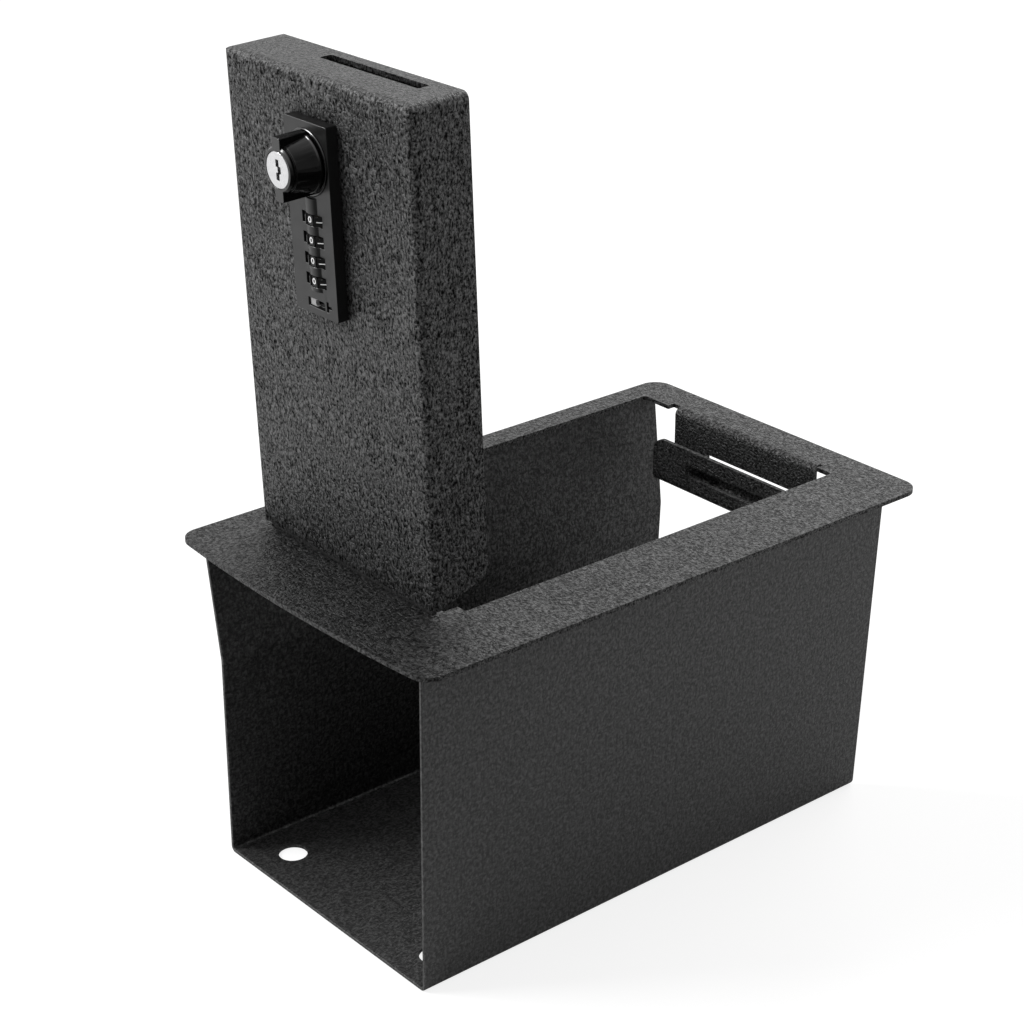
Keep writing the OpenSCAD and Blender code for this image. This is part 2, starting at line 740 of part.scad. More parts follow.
// One arm of a screw's cross recess, reach each way, from its head's face at z
module cross_slot(reach, z, depth) {
    box(-reach, reach, -reach / 5, reach / 5, z - cut, z + depth);
}

module rear_case_screws() {
    head_z = -boss_d - case_t - screw_head_h;
    color("silver") on_lid() for (x = [-screw_x, screw_x], y = screw_y)
        translate([x, y, head_z]) difference() {
            union() {
                cylinder(r = screw_head_r, h = screw_head_h);
                cylinder(r = screw_r, h = screw_head_h + screw_l);
            }
            for (a = [0, 90]) rotate([0, 0, a]) cross_slot(1.4, 0, 0.9);
        }
}

module knob_ring() {
    color("#1a1a1c") at_knob() difference() {
        rotate_extrude() polygon([[0, lock_t], [ring_r, lock_t], [ring_r, ring_z - 0.4],
            [ring_r - 0.4, ring_z], [0, ring_z]]);
        disc(spindle_r + 0.2, lock_t - cut, ring_z + cut);
    }
}

module dial_shaft() {
    color("silver") on_lid() rod(shaft_r, dial_x, dial_z, shaft_y0, shaft_y1);
}

// Ten-sided dial with a flat to the front and a rib on each corner
module dial(i) {
    y = dial_y[i];
    color("#141416") on_lid() difference() {
        translate([dial_x, y + dial_w / 2, dial_z]) rotate([90, 0, 0]) union() {
            cylinder(r = dial_r, h = dial_w, $fn = 10);
            for (k = [0:9]) rotate([0, 0, 36 * k])
                translate([dial_r - rib_root, -rib_w / 2, 0])
                    cube([rib_root + rib_h, rib_w, dial_w]);
        }
        rod(sleeve_r, dial_x, dial_z, y - dial_w / 2 - cut, y + dial_w / 2 + cut);
    }
}

// Sleeve in a dial's bore, with a flange whose gate lets the locking bar's finger by
module code_ring(i) {
    y = dial_y[i] - dial_w / 2;
    gate_at = dial_y[i] + gate_y;
    color("#b08d3e") on_lid() difference() {
        union() {
            rod(sleeve_r, dial_x, dial_z, y, y + sleeve_l);
            rod(gate_r, dial_x, dial_z, gate_at, gate_at + gate_t);
        }
        rod(shaft_r + shaft_play, dial_x, dial_z, y - cut, y + sleeve_l + cut);
        box(finger_x - gate_gap, finger_x + gate_r, gate_at - 0.1, gate_at + gate_t + 0.1,
            finger_z - gate_r, finger_z + finger_h + gate_gap);
    }
}

// Leaf comb on the rear case's floor, with a round tip behind each dial
module detent_spring() {
    leaf_z = -boss_d;
    tip_z = dial_z - dial_r - rib_h - 0.3 - tip_r;
    back_x = dial_x - dial_r;
    color("silver") on_lid() {
        box(back_x, back_x + comb_w, dial_y[3] - finger_half, dial_y[0] + finger_half,
            leaf_z, leaf_z + comb_t);
        for (y = dial_y) {
            box(back_x, dial_x, y - finger_half, y + finger_half, leaf_z, leaf_z + comb_t);
            intersection() {
                rod(tip_r, dial_x, tip_z, y - finger_half, y + finger_half);
                box(dial_x - tip_r - cut, dial_x + tip_r + cut, y - dial_w, y + dial_w, leaf_z, 0);
            }
        }
    }
}

// Bar beside the dials, with a finger for each code ring and its nose at the disc
module locking_bar() {
    color("#b08d3e") on_lid() difference() {
        union() {
            box(bar_x, bar_x + bar_w, bar_y0, bar_y1, bar_z, bar_z + bar_h);
            for (y = dial_y) {
                box(finger_x, bar_x + post_w, y + finger_y, y + finger_y + finger_t,
                    finger_z, finger_z + finger_h);
                box(bar_x, bar_x + post_w, y + finger_y, y + finger_y + finger_t,
                    bar_z + cut, finger_z + finger_h);
            }
        }
        rod(spring_r + bar_room, spring_x, spring_z, bar_y0 - cut, bar_y0 + spring_l);
    }
}

// Coil spring that pushes the bar towards the disc, drawn as its sleeve
module locking_bar_spring() {
    color("silver") on_lid() difference() {
        rod(spring_r, spring_x, spring_z, chamber_y0, chamber_y0 + spring_l);
        rod(spring_r - spring_wire, spring_x, spring_z, chamber_y0 - cut, chamber_y0 + spring_l + cut);
    }
}

module code_change_slider() {
    z = lock_t - recess_d;
    color("#9a9a9e") on_lid() difference() {
        union() {
            box(slider_x, slider_x + slider_w, recess_y + slider_room,
                recess_y + recess_h - slider_room, z, z + slider_t);
            box(foot_x, foot_x + foot_w, recess_mid - foot_l / 2, recess_mid + foot_l / 2,
                z - foot_d, z + slider_t / 2);
        }
        translate([slider_x + slider_w, recess_mid, 0]) disc(hollow_r, z - cut, z + slider_t + cut);
    }
}

// Knob: a flanged cup with a grip bar across it, hollow for the key cylinder
module turn_knob() {
    core_r = knob_front_r;
    color("#0f0f11") at_knob() difference() {
        union() {
            rotate_extrude() polygon([[0, knob_z], [knob_flange_r, knob_z],
                [knob_flange_r, knob_z + knob_flange_t], [knob_back_r, knob_z + knob_flange_t + 0.5],
                [core_r + groove_d / 2, groove_z - groove_w], [core_r - groove_d / 2, groove_z - groove_w],
                [core_r - groove_d / 2, groove_z], [core_r, groove_z], [core_r, knob_h - nose],
                [core_r - nose, knob_h], [0, knob_h]]);
            translate([0, 0, knob_z]) linear_extrude(knob_h - knob_z)
                round_rect(grip_w, grip_l, grip_r);
        }
        disc(cup_r, cup_z, knob_h + cut);
        disc(tail_bore_r, knob_z - cut, cup_z + cut);
    }
}

module key_shell() {
    color("silver") at_knob() difference() {
        disc(cup_r, cup_z, knob_h - face_t - face_gap);
        disc(plug_r + shaft_play, plug_z - face_gap, knob_h);
        disc(tail_bore_r, cup_z - cut, plug_z);
    }
}

// Key plug: silver face and body with a stepped keyway
module key_plug() {
    color("#c9c9cc") at_knob() difference() {
        union() {
            disc(key_face_r, knob_h - face_t, knob_h);
            disc(plug_r, plug_z, knob_h - face_t);
            disc(tail_r, cup_z - 1.5, plug_z + 0.5);
        }
        for (k = [0:2]) keyway_part(k);
    }
}

// One third of the keyway, from the lower end up; the middle one stands to the right
module keyway_part(k) {
    x = k == 1 ? keyway_step : 0;
    y = (k - 1) * keyway_l / 3;
    box(x - keyway_w / 2, x + keyway_w / 2, y - keyway_l / 6 - 0.2, y + keyway_l / 6 + 0.2,
        knob_h - keyway_d, knob_h + cut);
}

// Spindle from the knob through the lock to the cam, with its locking disc
module cam_spindle() {
    end_z = -cam_d;
    color("#a8a8ac") at_knob() difference() {
        union() {
            disc(spindle_r, end_z, knob_z);
            difference() {
                disc(disc_r, disc_z0, disc_z0 + disc_t);
                rotate([0, 0, 225]) box(disc_r - notch_depth, disc_r + cut, -notch_w / 2, notch_w / 2,
                    disc_z0 - cut, disc_z0 + disc_t + cut);
            }
            translate([-square_w / 2, -square_w / 2, end_z - cam_t]) cube([square_w, square_w, cam_t + cut]);
        }
        disc(cam_screw_r, end_z - cam_t - cut, end_z + tap_depth);
        disc(tail_r + 0.2, knob_z - 2.2, knob_z + cut);
    }
}

module spindle_clip() {
    z = -boss_d - case_t - 0.3;
    color("#55555a") at_knob() difference() {
        disc(spindle_r + clip_w, z - clip_t, z);
        disc(spindle_r, z - clip_t - cut, z + cut);
        box(-clip_mouth, clip_mouth, -2 * spindle_r, 0, z - clip_t - cut, z + cut);
    }
}

// Cam: a flat bar on the spindle's square end that turns into the three slots
module cam() {
    color("#8f8f94") at_knob() translate([0, 0, -cam_d - cam_t]) linear_extrude(cam_t)
        difference() {
            union() {
                circle(cam_w / 2);
                translate([0, -cam_w / 2]) square([cam_l - cam_w / 2, cam_w]);
                translate([cam_l - cam_w / 2, 0]) circle(cam_w / 2);
            }
            square(square_w, center = true);
        }
}

module cam_washer() {
    color("silver") at_knob() difference() {
        disc(washer_r, washer_z, washer_z + washer_t);
        disc(cam_screw_r, washer_z - cut, washer_z + washer_t + cut);
    }
}

module cam_screw() {
    head_z = washer_z - cam_head_h;
    color("silver") at_knob() difference() {
        union() {
            disc(cam_head_r, head_z, washer_z);
            disc(cam_screw_r, washer_z, -cam_d + tap_depth - cut);
        }
        for (a = [0, 90]) rotate([0, 0, a]) cross_slot(2.2, head_z, 1.4);
    }
}

body_shell();
top_plate();
hinge_fixed_leaf();
hinge_pin();
lid_pan();
hinge_moving_leaf();
lock_housing();
lock_rear_case();
rear_case_screws();
knob_ring();
dial_shaft();
dial(0);  // dial_1
dial(1);  // dial_2
dial(2);  // dial_3
dial(3);  // dial_4
code_ring(0);  // code_ring_1
code_ring(1);  // code_ring_2
code_ring(2);  // code_ring_3
code_ring(3);  // code_ring_4
detent_spring();
locking_bar();
locking_bar_spring();
code_change_slider();
turn_knob();
key_shell();
key_plug();
cam_spindle();
spindle_clip();
cam();
cam_washer();
cam_screw();
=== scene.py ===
# %% [markdown]
# This lesson dresses a console safe: a black box of folded steel that hangs by its
# top plate in a vehicle's centre console, with a pan lid and a dial lock.
# The construction arrives finished as a frame of solid parts. Everything here is
# looks: soft edges, coats of powder and lacquer, digits, index lines and light.
# We load the frame first.

# %% Load the frame
import json
import math

import bmesh
import bpy
from mathutils import Matrix, Vector


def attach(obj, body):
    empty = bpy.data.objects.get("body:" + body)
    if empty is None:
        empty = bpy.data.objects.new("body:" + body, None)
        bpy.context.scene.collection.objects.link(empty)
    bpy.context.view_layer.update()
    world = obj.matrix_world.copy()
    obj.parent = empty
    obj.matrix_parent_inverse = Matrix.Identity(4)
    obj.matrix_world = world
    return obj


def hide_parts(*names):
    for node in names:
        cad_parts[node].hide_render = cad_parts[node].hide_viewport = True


MM = 0.001
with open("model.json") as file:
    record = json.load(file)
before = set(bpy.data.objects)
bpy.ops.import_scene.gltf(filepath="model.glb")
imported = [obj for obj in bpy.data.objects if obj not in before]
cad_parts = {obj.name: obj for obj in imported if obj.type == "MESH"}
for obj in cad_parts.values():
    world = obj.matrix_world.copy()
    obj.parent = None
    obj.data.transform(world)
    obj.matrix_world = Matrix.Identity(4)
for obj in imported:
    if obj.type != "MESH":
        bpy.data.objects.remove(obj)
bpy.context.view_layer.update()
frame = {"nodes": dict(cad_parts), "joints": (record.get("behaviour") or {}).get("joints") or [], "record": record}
nodes = frame["nodes"]

# %% [markdown]
# The camera stands where the photographer stood: in front of the hinge end, to the
# right, looking down by about 25 degrees through a lens of about 85 mm.
# Three turns place it: the lens is tipped up from straight down, rolled by a
# fifth of a degree, and swung round the vertical.

# %% Camera
CAMERA_AT = Vector((876.0, -758.05, 714.5)) * MM
CAMERA_SWING = 50.22
CAMERA_DOWN = 24.60
CAMERA_ROLL = -0.22
LENS = 84.83

scene = bpy.context.scene
camera_data = bpy.data.cameras.new("camera")
camera_data.lens = LENS
camera_data.sensor_width = 36
camera = bpy.data.objects.new("camera", camera_data)
turn = Matrix.Rotation(math.radians(CAMERA_SWING), 4, "Z")
tip = Matrix.Rotation(math.radians(90 - CAMERA_DOWN), 4, "X")
roll = Matrix.Rotation(math.radians(CAMERA_ROLL), 4, "Z")
camera.matrix_world = Matrix.Translation(CAMERA_AT) @ turn @ tip @ roll
scene.collection.objects.link(camera)
scene.camera = camera
scene.view_settings.view_transform = "Standard"
print("camera: distance m", round(CAMERA_AT.length, 2), "lens mm", LENS)

# %% [markdown]
# A material here is a small graph. It could be joined by hand in the shader editor,
# but a script can be read again and changed. These helpers add a node, join two
# sockets and start a Principled shader. What is the same all over a surface is set
# on the shader's own socket; only what varies is wired in.

# %% Helpers for materials


def add(tree, kind, inputs=None, **settings):
    """Adds a node, sets its properties and its input sockets."""
    node = tree.nodes.new(kind)
    for name, value in settings.items():
        setattr(node, name, value)
    for name, value in (inputs or {}).items():
        node.inputs[name].default_value = value
    return node


def join(tree, start, end):
    """Joins an output to an input; a node stands for its first output."""
    output = start if isinstance(start, bpy.types.NodeSocket) else start.outputs[0]
    tree.links.new(output, end)


def grey(level):
    return (level, level, level, 1)


def start_material(name, colour, roughness, **sockets):
    """A Principled material; sockets are written with _ for a space."""
    material = bpy.data.materials.new(name)
    material.use_nodes = True
    tree = material.node_tree
    shader = tree.nodes["Principled BSDF"]
    shader.inputs["Base Color"].default_value = colour
    shader.inputs["Roughness"].default_value = roughness
    for key, value in sockets.items():
        shader.inputs[key.replace("_", " ")].default_value = value
    return material, tree, shader


print("render size is left to the renderer; the view is", scene.view_settings.view_transform)

# %% [markdown]
# Patterns come from noise on Object coordinates, so they stick to the piece when it
# moves and need no picture. Math nodes shape a pattern, Map Range gives it limits,
# Mix turns it into greys and Bump into relief. One helper for each keeps the
# finishes below short.

# %% Helpers for patterns


def object_axes(tree, output):
    """X, Y and Z of the object's own coordinates or of its normal."""
    place = add(tree, "ShaderNodeTexCoord")
    axes = add(tree, "ShaderNodeSeparateXYZ")
    join(tree, place.outputs[output], axes.inputs[0])
    return axes.outputs


def noise(tree, size_mm, detail=2.0, rough=0.5, stretch=(1, 1, 1), distort=0.0):
    """Noise whose blobs are about size_mm wide, longer where stretch is below 1."""
    place = add(tree, "ShaderNodeTexCoord")
    mapping = add(tree, "ShaderNodeMapping", {"Scale": stretch})
    sizes = {"Scale": 1 / (size_mm * MM), "Detail": detail, "Roughness": rough}
    texture = add(tree, "ShaderNodeTexNoise", {**sizes, "Distortion": distort})
    join(tree, place.outputs["Object"], mapping.inputs["Vector"])
    join(tree, mapping, texture.inputs["Vector"])
    return texture.outputs["Fac"]


def combine(tree, operation, first, second):
    """Math on two sockets or numbers."""
    node = add(tree, "ShaderNodeMath", operation=operation)
    for value, socket in ((first, node.inputs[0]), (second, node.inputs[1])):
        if isinstance(value, (int, float)):
            socket.default_value = value
        else:
            join(tree, value, socket)
    return node.outputs[0]


def times(tree, first, second):
    return combine(tree, "MULTIPLY", first, second)


def plus(tree, first, second):
    return combine(tree, "ADD", first, second)


def remap(tree, value, low, high, to_low, to_high):
    """Maps low to to_low and high to to_high, and holds the value between them."""
    limits = {"From Min": low, "From Max": high, "To Min": to_low, "To Max": to_high}
    node = add(tree, "ShaderNodeMapRange", limits)
    join(tree, value, node.inputs["Value"])
    return node.outputs["Result"]


def black_to_white(tree, value):
    """The grey of a value from 0 to 1."""
    mix = add(tree, "ShaderNodeMix", data_type="RGBA")
    mix.inputs[6].default_value = grey(0)
    mix.inputs[7].default_value = grey(1)
    join(tree, value, mix.inputs[0])
    return mix.outputs[2]


def bump(tree, shader, height, depth_mm):
    """Raises the surface where height is 1 by depth_mm."""
    node = add(tree, "ShaderNodeBump", {"Strength": 1.0, "Distance": depth_mm * MM})
    join(tree, height, node.inputs["Height"])
    join(tree, node, shader.inputs["Normal"])


# %% [markdown]
# The steel wears a wrinkle powder coat: a thick black powder that shrinks as it bakes into worm-like ridges a bit
# over a millimetre apart. It could be a photographed texture, but two noises, one drawn out upwards and one along
# the sheet, crossed by taking the lower of the two, give the same leathery grain at any scale: light tips on dark
# ground. Light is lost between the ridges, and here that is painted in: the ridges drive the height, and also the
# colour and the shine, with painted shade between the ridges and a painted highlight on their tips. First come
# three masks that change the coat from place to place. The lid's end face is smoother above a height, because
# powder piles up on an edge that points up; there the ridges are also pulled up, which paints that upward face
# lighter, a painted highlight. Inside the box and the pan, where the walls shade each other, an occlusion mask
# darkens the colour and the shine: painted shade. And in the corner beside the lock, where its flank holds off the
# light, the same kind of mask paints a shadow into the colour and the shine: a painted shadow.

# %% Masks of the powder coat
# The level that the end face's ridges are pulled up to also paints that face lighter: a painted highlight.
SMOOTH_LIT_LEVEL = 0.8
SMOOTH_KEPT = 0.68
SMOOTH_BAND = 2.5
# The reach and the closed level of the painted shade inside hollows and of the painted shadow beside a step.
HOLLOW_REACH = 250
HOLLOW_SHUT = 0.25
STEP_REACH = 14
STEP_SHUT = 0.45
OPEN = 0.95


def smooth_above(tree, ridges, height_mm):
    """Above a height, where the powder lies thick, the ridges run together and are pulled up to a high level,
    which also paints that face lighter: a painted highlight.
    """
    height = object_axes(tree, "Object")["Z"]
    low, high = (height_mm - SMOOTH_BAND) * MM, height_mm * MM
    keep = remap(tree, height, low, high, 1.0, SMOOTH_KEPT)
    over = times(tree, combine(tree, "SUBTRACT", ridges, SMOOTH_LIT_LEVEL), keep)
    return plus(tree, over, SMOOTH_LIT_LEVEL)


def reached_by_light(tree, reach_mm, shut, darkest, **settings):
    """Painted shade: 1 in the open, down to darkest where shapes within reach close off the light."""
    inputs = {"Distance": reach_mm * MM}
    hollow = add(tree, "ShaderNodeAmbientOcclusion", inputs, samples=8, **settings)
    return remap(tree, hollow.outputs["AO"], shut, OPEN, darkest, 1.0)


def open_to_light(tree, darkest):
    """Painted shade: 1 on the outside of a box or a pan, down to darkest deep inside it."""
    return reached_by_light(tree, HOLLOW_REACH, HOLLOW_SHUT, darkest, only_local=True)


def beside_a_step(tree, darkest):
    """Painted shadow: 1 in the open, down to darkest in the corner beside another piece."""
    return reached_by_light(tree, STEP_REACH, STEP_SHUT, darkest)


print("masks: smooth end face, hollow over", HOLLOW_REACH, "mm, step over", STEP_REACH, "mm")

# %% [markdown]
# Now the coat itself. On the real safe it is coarse on the lid, finer on the plate and almost smooth on the box,
# so size, depth and contrast are arguments of one recipe. The lid's grain stands upright, and on the plate and the
# box it runs along the sheet both ways. The ridges' tips are raised to a power, so that only the highest get the
# painted highlight.

# %% Powder coat
RIDGE_LOW, RIDGE_HIGH = 0.30, 0.60
TIP_POWER = 1.5
PIT_SHADE, TIP_SHINE = -0.85, 2.4
HOLLOW_TIPS = 2.6
WAVER = 0.3
FINE_SHARE = 0.3
FINE_LOW, FINE_HIGH = 0.3, 0.7


def ridges_of(tree, grain_mm, run):
    """Two noises, each drawn out its own way, crossed by taking the lower one."""
    upright = noise(tree, grain_mm, stretch=run[0], distort=WAVER)
    lying = noise(tree, grain_mm, stretch=run[1], distort=WAVER)
    crossed = combine(tree, "MINIMUM", upright, lying)
    return remap(tree, crossed, RIDGE_LOW, RIDGE_HIGH, 0.0, 1.0)


def powder_coat(name, grain_mm, depth_mm, run, level, contrast, shine, roughness,
                smooth_lit_mm=None, darkest=None, corner=None):
    """Wrinkled powder; run stretches the two crossed noises along the sheet."""
    material, tree, shader = start_material(name, grey(level), roughness)
    ridges = ridges_of(tree, grain_mm, run)
    # Painted highlight: the lid's end face is made smoother and lighter above a height.
    if smooth_lit_mm:
        ridges = smooth_above(tree, ridges, smooth_lit_mm)
    fine = noise(tree, grain_mm / 4)
    bump(tree, shader, plus(tree, ridges, times(tree, fine, FINE_SHARE)), depth_mm)
    # Painted highlight on the ridges' tips and painted shade between them, in both the colour and the shine.
    tips = combine(tree, "POWER", ridges, TIP_POWER)
    tone = remap(tree, tips, 0.0, 1.0, PIT_SHADE * contrast, TIP_SHINE * contrast)
    # Painted shade inside the box and the pan: the colour and the shine darken by an occlusion mask.
    if darkest:
        light = open_to_light(tree, darkest)
        tone = times(tree, tone, remap(tree, light, darkest, 1.0, HOLLOW_TIPS, 1.0))
        tone = times(tree, plus(tree, tone, 1.0), light)
    else:
        tone = plus(tree, tone, 1.0)
    # Painted shadow beside the lock: the colour and the shine darken near another piece.
    if corner:
        tone = times(tree, tone, beside_a_step(tree, corner))
    spread = remap(tree, fine, FINE_LOW, FINE_HIGH, roughness - 0.06, roughness + 0.08)
    join(tree, black_to_white(tree, times(tree, tone, level)), shader.inputs["Base Color"])
    join(tree, times(tree, tone, 0.5 * shine), shader.inputs["Specular IOR Level"])
    join(tree, spread, shader.inputs["Roughness"])
    return material


ALONG_LID = ((1, 1, 0.5), (0.8, 1, 0.9))
ALONG_PLATE = ((1, 0.7, 1), (0.7, 1, 1))
ALONG_WALL = ((1, 0.6, 1), (1, 1, 0.6))
LID_TOP = 437.4
coat_lid = powder_coat(
    "powder coat, coarse", grain_mm=1.25, depth_mm=0.45, run=ALONG_LID, level=0.012, contrast=1.12,
    shine=0.66, roughness=0.46, smooth_lit_mm=LID_TOP, darkest=0.25, corner=0.35)
coat_plate = powder_coat(
    "powder coat, plate", grain_mm=1.35, depth_mm=0.36, run=ALONG_PLATE, level=0.007, contrast=0.85,
    shine=0.57, roughness=0.44)
coat_box = powder_coat(
    "powder coat, box", grain_mm=1.5, depth_mm=0.17, run=ALONG_WALL, level=0.024, contrast=0.30,
    shine=0.98, roughness=0.48, darkest=0.16)
print("coats:", coat_lid.name, "|", coat_plate.name, "|", coat_box.name)

# %% [markdown]
# The lock is die-cast zinc under a satin black lacquer, the knob under a glossy one. Lacquer is smooth, so it has
# only a trace of orange peel and a little unevenness in its gloss, where fingers have been. On top of that, the
# shine is painted by the way each face looks: what looks out of the lid gets a painted sheen, the flanks get
# almost none and stay almost black as painted shade, and the edges that look up as well get a painted highlight,
# brightest of all. This could be three materials on three groups of faces, but a mask on the normal does it for
# every face at once and follows the rounded edges smoothly.

# %% Lacquers, plastic and paint
SMUDGE = 9.0
ORANGE_PEEL = 0.7
# These set a painted sheen by facing: painted shade on the flanks and a painted highlight on edges that look up.
FLANK_AT, FRONT_AT = -0.90, -0.985
EDGE_SHEEN_FROM, EDGE_SHEEN_TO = -0.12, -0.45


def front_or_flank(tree, front, flank, edge_sheen):
    """Painted sheen by facing: front where the surface looks out of the lid, flank at right angles to that, which
    is painted shade, and a painted highlight of edge_sheen more on the edges between the front and what looks up."""
    normal = object_axes(tree, "Normal")
    faces = remap(tree, normal["Y"], FLANK_AT, FRONT_AT, flank, front)
    edge = times(tree, normal["Y"], normal["Z"])
    return plus(tree, faces, remap(tree, edge, EDGE_SHEEN_FROM, EDGE_SHEEN_TO, 0.0, edge_sheen))


def lacquer(name, level, roughness, peel_mm=0.008, uneven=0.05, mirror=0.5, flank=None,
            edge_sheen=0.0):
    """Black or white lacquer with orange peel and a gloss that is uneven by uneven."""
    material, tree, shader = start_material(
        name, grey(level), roughness, Specular_IOR_Level=mirror)
    # Painted sheen: the shine follows the way each face looks, darker on the flanks and brightest on upturned
    # edges.
    if flank is not None:
        level_at = front_or_flank(tree, mirror, flank, edge_sheen)
        join(tree, level_at, shader.inputs["Specular IOR Level"])
    smudge = noise(tree, SMUDGE, detail=3.0, rough=0.6)
    spread = remap(tree, smudge, 0.35, 0.65, roughness - uneven, roughness + uneven)
    join(tree, spread, shader.inputs["Roughness"])
    bump(tree, shader, noise(tree, ORANGE_PEEL, detail=1.0), peel_mm)
    return material


satin_black = lacquer(
    "satin black lacquer", level=0.009, roughness=0.34, mirror=0.39, flank=0.12, edge_sheen=0.9)
gloss_black = lacquer(
    "gloss black lacquer", level=0.002, roughness=0.17, peel_mm=0.004, uneven=0.04,
    mirror=0.55, flank=0.12, edge_sheen=0.9)
dial_black = lacquer("dial plastic", level=0.006, roughness=0.42, mirror=0.3)
field_black = lacquer(
    "matt black field", level=0.003, roughness=0.7, peel_mm=0.002, mirror=0.15)
slider_grey = lacquer("grey slider plastic", level=0.35, roughness=0.5)
white_paint = lacquer("white dial paint", level=0.85, roughness=0.5, peel_mm=0.002)
print("lacquers:", satin_black.name, "|", gloss_black.name)

# %% [markdown]
# Bare metal shows inside the lock, on the cam and on the key's face. Turned parts
# carry fine rings, plated ones a faint cloudiness. An anisotropic shader could draw
# the rings, but here they are a few pixels wide at most, so noise on the roughness
# does for both.

# %% Metals
MARKS = 0.4
CLEANER, DULLER = 0.75, 1.3


def metal(name, colour, roughness, cloud_mm=3.0, scratch=(1, 1, 1), depth_mm=0.003):
    """Metal with a cloudy gloss; scratch above 1 draws the clouds out into rings."""
    material, tree, shader = start_material(name, colour, roughness, Metallic=1.0)
    cloud = noise(tree, cloud_mm, detail=4.0, rough=0.6, stretch=scratch)
    spread = remap(tree, cloud, 0.3, 0.7, roughness * CLEANER, roughness * DULLER)
    join(tree, spread, shader.inputs["Roughness"])
    bump(tree, shader, noise(tree, MARKS, stretch=scratch), depth_mm)
    return material


silver = metal("bright key face", (0.62, 0.62, 0.63, 1), roughness=0.30)
zinc_plate = metal("zinc plate", (0.60, 0.61, 0.63, 1), roughness=0.34)
turned_brass = metal(
    "turned brass", (0.62, 0.45, 0.20, 1), roughness=0.30, cloud_mm=2.0, scratch=(1, 6, 1))
oiled_steel = metal("oiled steel", (0.20, 0.20, 0.21, 1), roughness=0.36)
print("metals:", ", ".join(m.name for m in (silver, zinc_plate, turned_brass, oiled_steel)))

# %% [markdown]
# A folded or cast part never has a knife edge, and powder makes it rounder still.
# Every visible solid therefore gets a soft edge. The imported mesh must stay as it
# is, so we copy it, weld its loose triangles, let flat faces run together, and
# give the copy a Bevel that only bites on real edges. The copy then replaces the
# solid, at the same place and on the same body.

# %% Helpers for soft edges
SHARP = math.radians(28)
FLAT = math.radians(0.6)
SAME_POINT = 1e-6
SEGMENTS = 3
record = frame["record"]
bodies = record["behaviour"]["bodies"]
body_of = {node: body for body, held in bodies.items() for node in held}
slot_of = {row["node"]: row["material_slot"] for row in record["subparts"]}


def put(name, mesh, body, slot, material, *stands_for):
    """Makes the piece, gives it its one material and hands it to its body."""
    piece = bpy.data.objects.new(name, mesh)
    scene.collection.objects.link(piece)
    mesh.materials.clear()
    mesh.materials.append(material)
    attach(piece, body)
    if stands_for:
        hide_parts(*stands_for)
    return piece


def soften(node, material, edge_mm, clamp=True):
    """Replaces a solid with a copy whose edges are rounded by edge_mm."""
    shape = bmesh.new()
    shape.from_mesh(nodes[node].data)
    bmesh.ops.remove_doubles(shape, verts=shape.verts, dist=SAME_POINT)
    bmesh.ops.dissolve_limit(shape, angle_limit=FLAT, verts=shape.verts, edges=shape.edges)
    mesh = bpy.data.meshes.new(node + "_coated")
    shape.to_mesh(mesh)
    shape.free()
    mesh.shade_smooth()
    mesh.set_sharp_from_angle(angle=SHARP)
    piece = put(node + "_coated", mesh, body_of[node], slot_of[node], material, node)
    bevel = piece.modifiers.new("soft edge", "BEVEL")
    bevel.width = edge_mm * MM
    bevel.segments = SEGMENTS
    bevel.angle_limit = SHARP
    bevel.harden_normals = True
    bevel.use_clamp_overlap = clamp
    return piece


# %% [markdown]
# How round an edge is depends on how it was made. Folded and powdered sheet gets
# the widest, cast zinc a quarter of a millimetre, turned parts a fine chamfer. The
# housing and the knob have short edges beside long ones, at which the Bevel's
# clamp would stop everywhere, so theirs is switched off.

# %% Soft edges on the solids
EDGES = {
    "body_shell": (coat_box, 0.5),
    "top_plate": (coat_plate, 0.6),
    "lid_pan": (coat_lid, 0.6),
    "hinge_fixed_leaf": (coat_box, 0.3),
    "hinge_moving_leaf": (coat_box, 0.3),
    "lock_housing": (satin_black, 0.25),
    "lock_rear_case": (satin_black, 0.3),
    "knob_ring": (gloss_black, 0.12),
    "turn_knob": (gloss_black, 0.25),
    "key_plug": (silver, 0.12),
    "code_change_slider": (slider_grey, 0.2),
    "cam": (zinc_plate, 0.25),
}
NOT_CLAMPED = ("lock_housing", "turn_knob")
for node, (material, edge_mm) in EDGES.items():
    soften(node, material, edge_mm, clamp=node not in NOT_CLAMPED)
print("softened:", len(EDGES), "solids")

# %% [markdown]
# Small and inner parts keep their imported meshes, which are right as they are, and
# only take a finish: oiled steel for what rubs, zinc plate for screws and shafts,
# brass for the code rings and their bar, plastic for the dials.

# %% Finishes of the other solids
DIALS = 4
FINISHES = {
    oiled_steel: ["hinge_pin", "spindle_clip"],
    zinc_plate: ["rear_case_screws", "dial_shaft", "detent_spring", "locking_bar_spring",
                 "cam_spindle", "cam_washer", "cam_screw"],
    turned_brass: ["locking_bar"] + ["code_ring_%d" % (i + 1) for i in range(DIALS)],
    dial_black: ["dial_%d" % (i + 1) for i in range(DIALS)],
    silver: ["key_shell"],
}
for material, names in FINISHES.items():
    for name in names:
        slots = nodes[name].data.materials
        slots.clear()
        slots.append(material)
        nodes[name].data.set_sharp_from_angle(angle=SHARP)
print("finished:", sum(len(names) for names in FINISHES.values()), "solids")

# %% [markdown]
# What repeats is grown by Geometry Nodes. It could be copied in a loop, but a tree
# keeps the rule and its sizes in one place. Each tree is built here in the script,
# with named inputs for its sizes, and ends in Realize Instances and Set Material.
# Helpers start and end such a tree and turn its result into a plain mesh.

# %% Helpers for Geometry Nodes
SOCKET_KINDS = {int: "NodeSocketInt", float: "NodeSocketFloat"}


